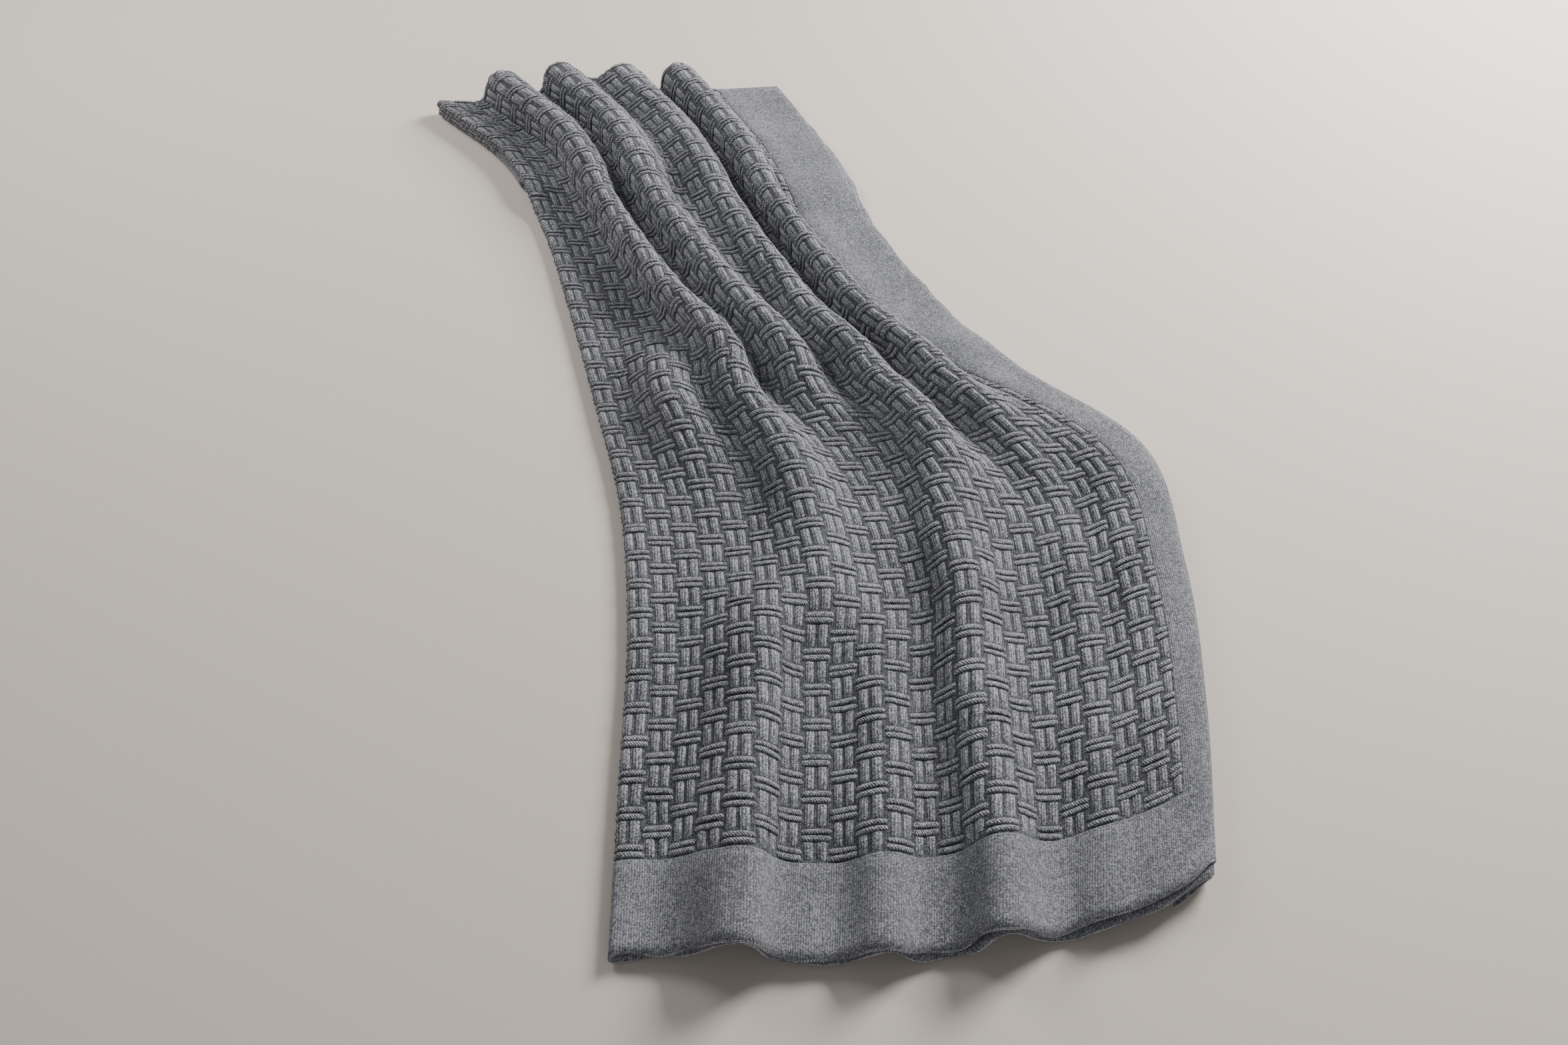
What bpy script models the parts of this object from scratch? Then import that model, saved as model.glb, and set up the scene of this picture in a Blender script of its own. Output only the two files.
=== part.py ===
"""Knitted throw, folded in half lengthwise and laid out in long soft folds.

Metres, +Z up. X runs across the folded throw with its lengthwise fold on the
left, Y runs from the near hem to the far end, and the floor is z = 0. The throw
is one knitted sheet: upper layer, the turn round the lengthwise fold, lower
layer. At the far end both layers are folded under together, and along the near
half the open side is turned under.
"""

import math

import bpy
import numpy as np
from mathutils import Matrix

THROW_WIDTH = 1.27
THROW_LENGTH = 1.52
CLOTH_THICKNESS = 0.003
LAYER_GAP = 0.0016
TURN_RADIUS = 0.0046
BORDER_WIDTH = 0.0824
LOWER_EDGE_SHOWS = 0.004
LOWER_EDGE_FROM = 0.94
TUCK_ENDS = 0.64
LOWER_HEM_SKEW = 0.006
SKEW_FADES_BY = 0.3
HEM_BOW = 0.038
HEM_BOW_FADES_BY = 0.7
PANEL_CLEARANCE = 0.0003

# The far end: both layers turn round the far fold, and go back under the rest,
# which is lifted over them between two places along the part that shows.
FAR_FOLD = 1.28
FAR_TURN_RADIUS = 0.0064
BUNDLE_APART = 0.0044
LIFT_START = 0.765
LIFT_END = 0.818

# The open side, where it is turned under: the radius of its turn, and the low
# ramp that takes the cloth up to it.
TUCK_RADIUS = 0.0075
TUCK_RAMP = 0.070
TUCK_FLAT = 0.008

ROWS_SHOWN = 16
ROWS_DOUBLED = 3
ROWS_IN_FAR_TURN = 4
ROWS_CLOSEST = 0.56
ROWS_CLOSENESS = 0.55
COLUMNS_IN_PANEL = 42
COLUMNS_TO_TUCK = 3
COLUMNS_ROUND_TUCK = 4
COLUMNS_UNDER = 3
LEAST_TUCK = 0.030
STEPS_IN_TURN = 5
WALK_STEPS = 600
LEAST_BEND = 0.6

# The outline on the floor. Each station: how far along the part that shows,
# then the x and y of the lengthwise fold and of the open side there.
OUTLINE_COLUMNS = ("along", "fold_x", "fold_y", "open_x", "open_y")
OUTLINE = (
    (0.000, -0.257, 0.009, 0.257, -0.009),
    (0.125, -0.231, 0.166, 0.311, 0.142),
    (0.250, -0.205, 0.323, 0.354, 0.297),
    (0.375, -0.194, 0.482, 0.370, 0.455),
    (0.500, -0.205, 0.641, 0.275, 0.597),
    (0.625, -0.219, 0.800, 0.216, 0.738),
    (0.750, -0.238, 0.958, 0.176, 0.885),
    (0.875, -0.278, 1.112, 0.151, 1.042),
    (1.000, -0.360, 1.244, 0.110, 1.196),
)

# How much of the open side is turned under at each station.
TUCK_COLUMNS = ("along", "turned_under")
TUCK = (
    (0.00, 0.060),
    (0.30, 0.055),
    (0.42, 0.048),
    (0.64, 0.000),
    (1.00, 0.000),
)

# One row per fold. The fold lies between "start" and "end" along the throw and
# fades out at both; it runs at "near" across the cloth, then moves over to
# "far" about "swing". "half_width" is a share of the cloth across, "lean" makes
# the left flank longer than the right, "steep" is its share of the steepness.
FOLD_COLUMNS = (
    "name", "start", "end", "near", "far", "swing", "swing_half", "half_width", "lean", "steep",
)
FOLDS = (
    ("hem_left", -0.2, 0.36, 0.185, 0.215, 0.20, 0.20, 0.150, 0.25, 1.00),
    ("hem_middle", -0.2, 0.30, 0.395, 0.385, 0.13, 0.13, 0.100, 0.05, 0.85),
    ("hem_right", -0.3, 0.43, 0.590, 0.535, 0.13, 0.14, 0.125, -0.10, 1.10),
    ("hem_far_right", -0.2, 0.46, 0.755, 0.730, 0.20, 0.22, 0.080, 0.00, 0.55),
    ("pleat_low", 0.24, 0.52, 0.530, 0.590, 0.39, 0.10, 0.120, 0.00, 0.80),
    ("left_hump", 0.34, 0.62, 0.140, 0.140, 0.50, 0.10, 0.150, 0.00, 0.85),
    ("back_mound", 0.48, 1.20, 0.47, 0.47, 0.85, 0.14, 0.280, 0.42, 0.30),
    ("back_left", 0.18, 1.20, 0.300, 0.185, 0.58, 0.20, 0.135, 0.00, 1.03),
    ("back_middle", 0.40, 1.20, 0.450, 0.370, 0.63, 0.18, 0.125, 0.00, 0.85),
    ("pleat_lip", 0.28, 1.20, 0.605, 0.550, 0.67, 0.20, 0.125, 0.00, 0.95),
    ("border_tube", 0.32, 1.20, 0.770, 0.745, 0.63, 0.20, 0.130, 0.00, 1.10),
    ("twist_long", 0.43, 0.62, 0.850, 0.700, 0.52, 0.08, 0.055, 0.00, 0.30),
    ("twist_short", 0.39, 0.57, 0.800, 0.670, 0.46, 0.08, 0.050, 0.00, 0.25),
)
FADE_LENGTH = 0.15
WANDER = 0.005


def soft_step(value):
    """0 below 0, 1 above 1, and a smooth S between."""
    held = np.clip(value, 0.0, 1.0)
    return held * held * (3.0 - 2.0 * held)


def outline_at(along):
    """The fold points and the open-side points, on smooth curves through the stations."""
    table = np.array(OUTLINE)
    stations, values = table[:, 0], table[:, 1:]
    index = np.clip(np.searchsorted(stations, along) - 1, 0, len(stations) - 2)
    step = (stations[index + 1] - stations[index])[:, None]
    share = (along[:, None] - stations[index][:, None]) / step
    slopes = np.gradient(values, stations, axis=0)
    points = (2.0 * share**3 - 3.0 * share**2 + 1.0) * values[index]
    points = points + (share**3 - 2.0 * share**2 + share) * step * slopes[index]
    points = points + (3.0 * share**2 - 2.0 * share**3) * values[index + 1]
    points = points + (share**3 - share**2) * step * slopes[index + 1]
    return points[:, :2], points[:, 2:]


def turned_under_at(along):
    """How much of the open side is turned under, a smooth S from row to row."""
    table = np.array(TUCK)
    index = np.clip(np.searchsorted(table[:, 0], along) - 1, 0, len(table) - 2)
    here, there = table[index], table[index + 1]
    share = soft_step((along - here[:, 0]) / (there[:, 0] - here[:, 0]))
    return here[:, 1] + (there[:, 1] - here[:, 1]) * share


def fold_tilt(across, along):
    """How the folds tilt the cloth: up one flank, level at the crest, down the other."""
    place = along[:, None]
    tilt = np.zeros((len(along), len(across)))
    for row in FOLDS:
        fold = dict(zip(FOLD_COLUMNS, row))
        moved = soft_step((place - fold["swing"] + fold["swing_half"]) / (2.0 * fold["swing_half"]))
        crest = fold["near"] + (fold["far"] - fold["near"]) * moved
        crest = crest + WANDER * np.sin(9.0 * place + 1700.0 * fold["half_width"])
        present = soft_step((place - fold["start"]) / FADE_LENGTH)
        present = present * soft_step((fold["end"] - place) / FADE_LENGTH)
        from_crest = (across[None, :] - crest) / fold["half_width"]
        flank = np.where(from_crest < 0.0, 1.0 + fold["lean"], 1.0 - fold["lean"])
        in_flank = np.clip(from_crest / flank, -1.0, 1.0)
        wave = -np.sin(math.pi * in_flank) * np.cos(0.5 * math.pi * in_flank) ** 2 / (0.65 * flank)
        tilt = tilt + fold["steep"] * present * wave
    return tilt


def edge_tilt(walked, cloth, under):
    """The open side's own tilt: up a low ramp, then round a turn and back under."""
    drop = TUCK_RADIUS * (1.0 - np.cos(np.minimum(under / TUCK_RADIUS, math.pi)))
    ramp_end = cloth - under - np.maximum(under - math.pi * TUCK_RADIUS, 0.0) - TUCK_FLAT
    on_ramp = np.clip((walked - ramp_end) / TUCK_RAMP + 1.0, 0.0, 1.0)
    ramp = 2.0 * drop / TUCK_RAMP * np.sin(math.pi * on_ramp) ** 2
    return ramp - np.clip((walked - cloth + under) / TUCK_RADIUS, 0.0, math.pi)


def walk_across(along, room):
    """The sections of the cloth, one for each place along it.

    The cloth keeps its own length, so its folds stand just steep enough for it
    to fit between the lengthwise fold and the open side. Returns the distance
    across and the height at even steps over the cloth.
    """
    cloth = 0.5 * (THROW_WIDTH - math.pi * TURN_RADIUS)
    step = cloth / WALK_STEPS
    across = np.linspace(0.0, 1.0, WALK_STEPS + 1)
    walked = across[None, :] * cloth
    under = turned_under_at(along)[:, None]
    edge = edge_tilt(walked, cloth, under)
    waves = fold_tilt(across, along) * soft_step((cloth - under - walked) / 0.03)
    waves_middle = 0.5 * (waves[:, 1:] + waves[:, :-1])
    edge_middle = 0.5 * (edge[:, 1:] + edge[:, :-1])
    half_bundle = 0.5 * LAYER_GAP + CLOTH_THICKNESS
    turned = np.minimum(under[:, 0] / (0.5 * math.pi * TUCK_RADIUS), 1.0)
    room = room - half_bundle * turned
    least = np.zeros(len(along))
    most = np.full(len(along), 3.0)
    for _ in range(40):
        steepness = 0.5 * (least + most)
        tilt = steepness[:, None] * waves_middle + edge_middle
        too_long = np.sum(np.maximum(np.cos(tilt), 0.0), axis=1) * step > room
        least = np.where(too_long, steepness, least)
        most = np.where(too_long, most, steepness)
    rise = np.sin(tilt)
    spread = np.maximum(np.sum(np.abs(rise), axis=1), 1e-9)
    rise = rise - np.abs(rise) * (np.sum(rise, axis=1) / spread)[:, None]
    start = np.zeros((len(along), 1))
    distance = np.hstack((start, np.cumsum(np.cos(tilt) * step, axis=1)))
    height = np.hstack((start, np.cumsum(rise * step, axis=1)))
    return distance, np.maximum(height, 0.0)


def layer_offset(across):
    """Half the distance between the middles of the layers, rounder at the turn."""
    flat = 0.5 * (LAYER_GAP + CLOTH_THICKNESS)
    return flat + (TURN_RADIUS - flat) * np.exp(-((across / 0.035) ** 2))


def bundle_offset(across, from_far_fold):
    """Half the distance between the two bundles of layers, rounder at the far turn."""
    near_turn = np.exp(-((from_far_fold / 0.04) ** 2))
    flat = 0.5 * (LAYER_GAP + CLOTH_THICKNESS)
    apart = BUNDLE_APART + (FAR_TURN_RADIUS - BUNDLE_APART) * near_turn
    return apart + (layer_offset(across) - flat) * (1.0 - near_turn)


def places_along():
    """Distances along the cloth. The rows above the folded-under end match its own,
    and the others stand closer together where the turned-under side comes out.
    """
    far_turn = math.pi * FAR_TURN_RADIUS
    doubled = THROW_LENGTH - FAR_FOLD - far_turn
    single = FAR_FOLD - doubled
    even = np.linspace(0.0, 1.0, ROWS_SHOWN + 1)
    closest = ROWS_CLOSEST * FAR_FOLD / single
    wave = np.sin(2.0 * math.pi * (even - closest)) + math.sin(2.0 * math.pi * closest)
    return np.concatenate(
        (
            single * (even - ROWS_CLOSENESS / (2.0 * math.pi) * wave),
            np.linspace(FAR_FOLD - doubled, FAR_FOLD, ROWS_DOUBLED + 1)[1:],
            np.linspace(FAR_FOLD, FAR_FOLD + far_turn, ROWS_IN_FAR_TURN + 1)[1:],
            np.linspace(FAR_FOLD + far_turn, THROW_LENGTH, ROWS_DOUBLED + 1)[1:],
        )
    )


def places_across(along):
    """Shares of the cloth from the lengthwise fold to the open side, for each place
    along it: those in the border follow the turn of the turned-under side.
    """
    cloth = 0.5 * (THROW_WIDTH - math.pi * TURN_RADIUS)
    panel_end = 1.0 - BORDER_WIDTH / (0.5 * THROW_WIDTH)
    turn_start = 1.0 - np.maximum(turned_under_at(along), LEAST_TUCK) / cloth
    turn_end = turn_start + math.pi * TUCK_RADIUS / cloth
    panel = np.linspace(0.0, panel_end, COLUMNS_IN_PANEL + 1)
    to_tuck = np.linspace(panel_end, turn_start, COLUMNS_TO_TUCK + 1, axis=1)
    round_tuck = np.linspace(turn_start, turn_end, COLUMNS_ROUND_TUCK + 1, axis=1)
    under = np.linspace(turn_end, 1.0, COLUMNS_UNDER + 1, axis=1)
    parts = (np.tile(panel, (len(along), 1)), to_tuck[:, 1:], round_tuck[:, 1:], under[:, 1:])
    return np.hstack(parts)


def even_normals(points):
    """The way out of a grid of points, at each point: the middle of the ways out of
    the faces round it, and longer the more they bend, as an even wall needs.
    """
    lengthwise = points[1:, :-1] - points[:-1, 1:]
    crosswise = points[1:, 1:] - points[:-1, :-1]
    faces = np.cross(crosswise, lengthwise)
    faces = faces / np.linalg.norm(faces, axis=2, keepdims=True)
    padded = np.pad(faces, ((1, 1), (1, 1), (0, 0)), mode="edge")
    around = (padded[:-1, :-1], padded[:-1, 1:], padded[1:, :-1], padded[1:, 1:])
    middle = sum(around)
    middle = middle / np.linalg.norm(middle, axis=2, keepdims=True)
    bend = sum(np.sum(middle * face, axis=2, keepdims=True) for face in around) / len(around)
    return middle / np.maximum(bend, LEAST_BEND)


def unit(vectors):
    return vectors / np.linalg.norm(vectors, axis=-1, keepdims=True)


def lay_bundle(walked, across):
    """The middle of the two layers, as rows of points from the lengthwise fold to the
    open side: out to the far fold, round it, and back under.
    """
    shown = walked[walked < FAR_FOLD + 1e-9]
    along = shown / FAR_FOLD
    fold_point, open_point = outline_at(along)
    direction = unit(open_point - fold_point)
    rim = TURN_RADIUS + 0.5 * CLOTH_THICKNESS
    sections = walk_across(along, np.hypot(*(open_point - fold_point).T) - rim)
    even = np.linspace(0.0, 1.0, WALK_STEPS + 1)
    across = across[: len(shown)]
    distance, height = (
        np.stack([np.interp(places, even, values) for places, values in zip(across, part)])
        for part in sections
    )
    apart = bundle_offset(across, (FAR_FOLD - shown)[:, None])
    apart = apart * soft_step((along - LIFT_START) / (LIFT_END - LIFT_START))[:, None]
    panel_end = 1.0 - BORDER_WIDTH / (0.5 * THROW_WIDTH)
    clearance = np.where(across < panel_end - 0.01, PANEL_CLEARANCE, 0.0)
    z = height + layer_offset(across) + 0.5 * CLOTH_THICKNESS + clearance + apart
    x = fold_point[:, :1] + direction[:, :1] * (rim + distance)
    y = fold_point[:, 1:] + direction[:, 1:] * (rim + distance)
    # The hem bows out, most of all right of its middle, and the rows behind it less and less.
    share = distance / distance.max(axis=1, keepdims=True)
    bow = 1.0 - np.abs(2.0 * share**1.5 - 1.0) ** 3
    bow = HEM_BOW * bow * soft_step(1.0 - along / HEM_BOW_FADES_BY)[:, None]
    x = x + bow * direction[:, 1:]
    y = y - bow * direction[:, :1]
    middle = np.stack((x, y, z), axis=2)
    out = even_normals(middle)
    apart = apart[..., None]
    turn = np.clip((walked[walked > FAR_FOLD] - FAR_FOLD) / FAR_TURN_RADIUS, 0.0, math.pi)
    turn = turn[turn < math.pi - 1e-9][:, None, None]
    forward = unit(np.cross(out[-1:], np.gradient(middle[-1:], axis=1)))
    rounded = np.cos(turn) * out[-1:] + np.sin(turn) * forward
    doubled = slice(None, -ROWS_DOUBLED - 2, -1)
    way_out = np.concatenate((out, rounded, -out[doubled]))
    points = (
        middle + apart * out,
        middle[-1:] + apart[-1:] * rounded,
        middle[doubled] - apart[doubled] * out[doubled],
    )
    return np.concatenate(points), way_out


def lay_cloth():
    """The middle surface of the cloth as rows of points, upper open side to lower open side."""
    walked = places_along()
    far_turn = math.pi * FAR_TURN_RADIUS
    travelled = np.minimum(walked, FAR_FOLD) - np.maximum(walked - FAR_FOLD - far_turn, 0.0)
    across = places_across(travelled / FAR_FOLD)
    bundle, out = lay_bundle(walked, across)
    apart = layer_offset(across)[..., None]
    side = unit(np.gradient(bundle, axis=1))
    forward = unit(np.cross(out, side))
    slide = LOWER_EDGE_SHOWS * soft_step((across - LOWER_EDGE_FROM) / (1.0 - LOWER_EDGE_FROM))
    slide = slide * soft_step((travelled / FAR_FOLD - TUCK_ENDS) / 0.08)[:, None]
    skew = LOWER_HEM_SKEW * soft_step(1.0 - walked / SKEW_FADES_BY)[:, None] * across
    upper = bundle + apart * out
    lower = bundle - apart * out + slide[..., None] * side - skew[..., None] * forward
    turn = np.linspace(0.0, math.pi, STEPS_IN_TURN + 1)[1:-1][None, :, None]
    at_fold = slice(0, 1)
    round_turn = np.cos(turn) * unit(out[:, at_fold]) - np.sin(turn) * side[:, at_fold]
    turn_points = bundle[:, at_fold] + apart[:, at_fold] * round_turn
    return np.concatenate((upper[:, ::-1], turn_points, lower), axis=1)


def clear_scene():
    for thing in list(bpy.data.objects):
        bpy.data.objects.remove(thing, do_unlink=True)


def wool_material():
    material = bpy.data.materials.new("knit_throw_wool")
    material.use_nodes = True
    shader = material.node_tree.nodes["Principled BSDF"]
    shader.inputs["Base Color"].default_value = (0.235, 0.238, 0.250, 1.0)
    shader.inputs["Roughness"].default_value = 0.95
    return material


def centre_on_floor(thing):
    """Moves the mesh so that the middle of its thickened outline is at x = y = 0."""
    bpy.context.view_layer.update()
    solid = thing.evaluated_get(bpy.context.evaluated_depsgraph_get())
    corners = np.array([tuple(corner) for corner in solid.bound_box])
    middle = 0.5 * (corners.min(axis=0) + corners.max(axis=0))
    thing.data.transform(Matrix.Translation((-middle[0], -middle[1], 0.0)))


def build_throw(collection):
    points = lay_cloth()
    count_rows, count_columns = points.shape[:2]
    far_turn_row = ROWS_SHOWN + ROWS_DOUBLED + ROWS_IN_FAR_TURN // 2
    faces = []
    for row in range(count_rows - 1):
        for column in range(count_columns - 1):
            corner = row * count_columns + column
            beside, beyond = corner + 1, corner + count_columns
            # Both layers, and both bundles, are cut into triangles the same way.
            if (column < count_columns // 2) == (row < far_turn_row):
                faces.append((corner, beyond, beside))
                faces.append((beside, beyond, beyond + 1))
            else:
                faces.append((corner, beyond, beyond + 1))
                faces.append((corner, beyond + 1, beside))
    mesh = bpy.data.meshes.new("knit_throw")
    mesh.from_pydata([tuple(point) for point in points.reshape(-1, 3)], [], faces)
    mesh.materials.append(wool_material())
    throw = bpy.data.objects.new("knit_throw", mesh)
    collection.objects.link(throw)
    cloth = throw.modifiers.new("cloth_thickness", "SOLIDIFY")
    cloth.thickness = CLOTH_THICKNESS
    cloth.offset = 0.0
    cloth.use_even_offset = True
    cloth.use_quality_normals = True
    centre_on_floor(throw)
    return throw


clear_scene()
throw_collection = bpy.data.collections.new("knit_throw")
bpy.context.scene.collection.children.link(throw_collection)
build_throw(throw_collection)
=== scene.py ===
import math

import bpy
import numpy as np
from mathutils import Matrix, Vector


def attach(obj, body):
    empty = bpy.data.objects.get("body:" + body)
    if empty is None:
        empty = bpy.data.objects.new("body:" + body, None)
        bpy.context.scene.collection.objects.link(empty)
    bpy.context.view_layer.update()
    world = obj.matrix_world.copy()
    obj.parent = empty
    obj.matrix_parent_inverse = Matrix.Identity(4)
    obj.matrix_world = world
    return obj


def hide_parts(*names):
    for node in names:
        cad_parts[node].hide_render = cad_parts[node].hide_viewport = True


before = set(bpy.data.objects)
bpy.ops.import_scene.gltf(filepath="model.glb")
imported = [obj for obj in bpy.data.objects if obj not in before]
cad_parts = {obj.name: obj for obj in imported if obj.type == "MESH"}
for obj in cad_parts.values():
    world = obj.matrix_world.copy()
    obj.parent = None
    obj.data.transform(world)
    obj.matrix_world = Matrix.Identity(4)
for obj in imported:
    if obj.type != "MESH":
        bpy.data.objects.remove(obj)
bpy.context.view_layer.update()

# The cloth and how it lies. Its layers are even offsets of one wavy middle surface, and its far
# end is folded under the part that shows. A "station" is a share of that part's length
cloth = {
    "width": 1.27,
    "length": 1.52,
    "thickness": 0.003,
    "layerGap": 0.0016,
    "border": 0.0824,
    "clearance": 0.0006,  # floor to cloth, room for the knit under it
    "toFrame": (-0.004268, -0.604938),  # from the outline's own zero to the part's
    "turnRadius": 0.0046,  # of the lengthwise fold, to the middle of the cloth
    "turnEases": 0.035,  # share of the half width in which the layers come together
    "farFold": 1.28,  # from the near hem to where the far end goes under
    "farTurnRadius": 0.0064,  # to the middle of the two layers
    "farTurnEases": 0.04,
    "bundleApart": 0.0044,  # half the distance from the part on top to the end under it
    "liftFrom": 0.765,  # stations between which the top rises over that end
    "liftTo": 0.818,
    "tuckRadius": 0.0075,  # of the open side's turn, where it is turned under
    "tuckRamp": 0.070,  # length of the low slope up to the turn
    "tuckFlat": 0.008,  # the slope ends this far short of the edge beneath
    "foldsEndBeforeTuck": 0.03,
    "tuckEnds": 0.64,  # station from which nothing is turned under
    "tuckEases": 0.08,
    "lowerEdgeShows": 0.004,  # the lower layer stands out by this much beyond there
    "lowerEdgeFrom": 0.94,
    "lowerHemSkew": 0.006,  # and by this much at the hem's open corner
    "skewFadesBy": 0.3,
    "hemBow": 0.038,
    "hemBowFadesBy": 0.7,  # station
    "steepest": 3.0,  # the folds' tilt is scaled by this much at most
    "halvings": 40,  # of the range in which that scale is looked for
    "steps": 600,  # of the walk across each row
    "turnSteps": 14,  # from here on, of the fine grid
    "shownRows": 340,
    "farTurnRows": 10,
    "underRows": 58,
}

# station, x and y of the lengthwise fold, x and y of the open side
outline = np.array((
    (0.000, -0.257, 0.009, 0.257, -0.009),
    (0.125, -0.231, 0.166, 0.311, 0.142),
    (0.250, -0.205, 0.323, 0.354, 0.297),
    (0.375, -0.194, 0.482, 0.370, 0.455),
    (0.500, -0.205, 0.641, 0.275, 0.597),
    (0.625, -0.219, 0.800, 0.216, 0.738),
    (0.750, -0.238, 0.958, 0.176, 0.885),
    (0.875, -0.278, 1.112, 0.151, 1.042),
    (1.000, -0.360, 1.244, 0.110, 1.196),
))

# station, how much of the open side is turned under there
tuck = np.array(((0.00, 0.060), (0.30, 0.055), (0.42, 0.048), (0.64, 0.0), (1.0, 0.0)))

# From station "start" to "end" a crest runs "near" of the way across, and "far" of it past the
# station "swing": start, end, near, far, swing, swingHalf, halfWidth, lean, steep
folds = {
    "hemLeft": (-0.2, 0.36, 0.185, 0.215, 0.20, 0.20, 0.150, 0.25, 1.00),
    "hemMiddle": (-0.2, 0.30, 0.395, 0.385, 0.13, 0.13, 0.100, 0.05, 0.85),
    "hemRight": (-0.3, 0.43, 0.590, 0.535, 0.13, 0.14, 0.125, -0.10, 1.10),
    "hemFarRight": (-0.2, 0.46, 0.755, 0.730, 0.20, 0.22, 0.080, 0.00, 0.55),
    "pleatLow": (0.24, 0.52, 0.530, 0.590, 0.39, 0.10, 0.120, 0.00, 0.80),
    "leftHump": (0.34, 0.62, 0.140, 0.140, 0.50, 0.10, 0.150, 0.00, 0.85),
    "backMound": (0.48, 1.20, 0.47, 0.47, 0.85, 0.14, 0.280, 0.42, 0.30),
    "backLeft": (0.18, 1.20, 0.300, 0.185, 0.58, 0.20, 0.135, 0.00, 1.03),
    "backMiddle": (0.40, 1.20, 0.450, 0.370, 0.63, 0.18, 0.125, 0.00, 0.85),
    "pleatLip": (0.28, 1.20, 0.605, 0.550, 0.67, 0.20, 0.125, 0.00, 0.95),
    "borderTube": (0.32, 1.20, 0.770, 0.745, 0.63, 0.20, 0.130, 0.00, 1.10),
    "twistLong": (0.43, 0.62, 0.850, 0.700, 0.52, 0.08, 0.055, 0.00, 0.30),
    "twistShort": (0.39, 0.57, 0.800, 0.670, 0.46, 0.08, 0.050, 0.00, 0.25),
}
# each crest fades in and out over this length, and wanders by this much, with this many radians
# to the whole length and a phase that its width sets
fadeLength = 0.15
wander = 0.005
wanderTurn = 9.0
wanderPhase = 1700.0
wavePeak = 0.65  # the most that a fold's own wave reaches


def softStep(value):
    held = np.clip(value, 0.0, 1.0)
    return held * held * (3.0 - 2.0 * held)  # 0 below 0, 1 above 1, a smooth S between


def outlineAt(station):
    # cubic Hermite curve through the stations: the fold point and the open-side point
    stations, values = outline[:, 0], outline[:, 1:]
    index = np.clip(np.searchsorted(stations, station) - 1, 0, len(stations) - 2)
    step = (stations[index + 1] - stations[index])[:, None]
    share = (station - stations[index])[:, None] / step
    slopes = np.gradient(values, stations, axis=0)
    point = (2.0 * share**3 - 3.0 * share**2 + 1.0) * values[index]
    point = point + (share**3 - 2.0 * share**2 + share) * step * slopes[index]
    point = point + (3.0 * share**2 - 2.0 * share**3) * values[index + 1]
    point = point + (share**3 - share**2) * step * slopes[index + 1]
    return point[:, :2], point[:, 2:]


def turnedUnderAt(station):
    # a smooth S from each row of the tuck's table to the next
    index = np.clip(np.searchsorted(tuck[:, 0], station) - 1, 0, len(tuck) - 2)
    here, there = tuck[index], tuck[index + 1]
    share = softStep((station - here[:, 0]) / (there[:, 0] - here[:, 0]))
    return here[:, 1] + (there[:, 1] - here[:, 1]) * share


def foldTilt(across, station):
    # each fold is one wave of tilt, up its left flank, level at the crest and down the right one:
    # minus sin(pi u) times the square of cos(pi u / 2), which eases in and out at the fold's feet
    tilt = np.zeros((len(station), len(across)))
    place = station[:, None]
    for start, end, near, far, swing, swingHalf, halfWidth, lean, steep in folds.values():
        moved = softStep((place - swing + swingHalf) / (2.0 * swingHalf))
        wandered = wander * np.sin(wanderTurn * place + wanderPhase * halfWidth)
        crest = near + (far - near) * moved + wandered
        present = softStep((place - start) / fadeLength) * softStep((end - place) / fadeLength)
        fromCrest = (across[None, :] - crest) / halfWidth
        flank = np.where(fromCrest < 0.0, 1.0 + lean, 1.0 - lean)
        inFlank = np.clip(fromCrest / flank, -1.0, 1.0)
        wave = -np.sin(math.pi * inFlank) * np.cos(0.5 * math.pi * inFlank) ** 2 / (wavePeak * flank)
        tilt = tilt + steep * present * wave
    return tilt


def edgeTilt(walked, halfCloth, under):
    # the open side's own tilt: up a low ramp, then round a turn and back under
    radius = cloth["tuckRadius"]
    drop = radius * (1.0 - np.cos(np.minimum(under / radius, math.pi)))
    rampEnd = halfCloth - under - np.maximum(under - math.pi * radius, 0.0) - cloth["tuckFlat"]
    onRamp = np.clip((walked - rampEnd) / cloth["tuckRamp"] + 1.0, 0.0, 1.0)
    ramp = 2.0 * drop / cloth["tuckRamp"] * np.sin(math.pi * onRamp) ** 2
    return ramp - np.clip((walked - halfCloth + under) / radius, 0.0, math.pi)


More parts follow.
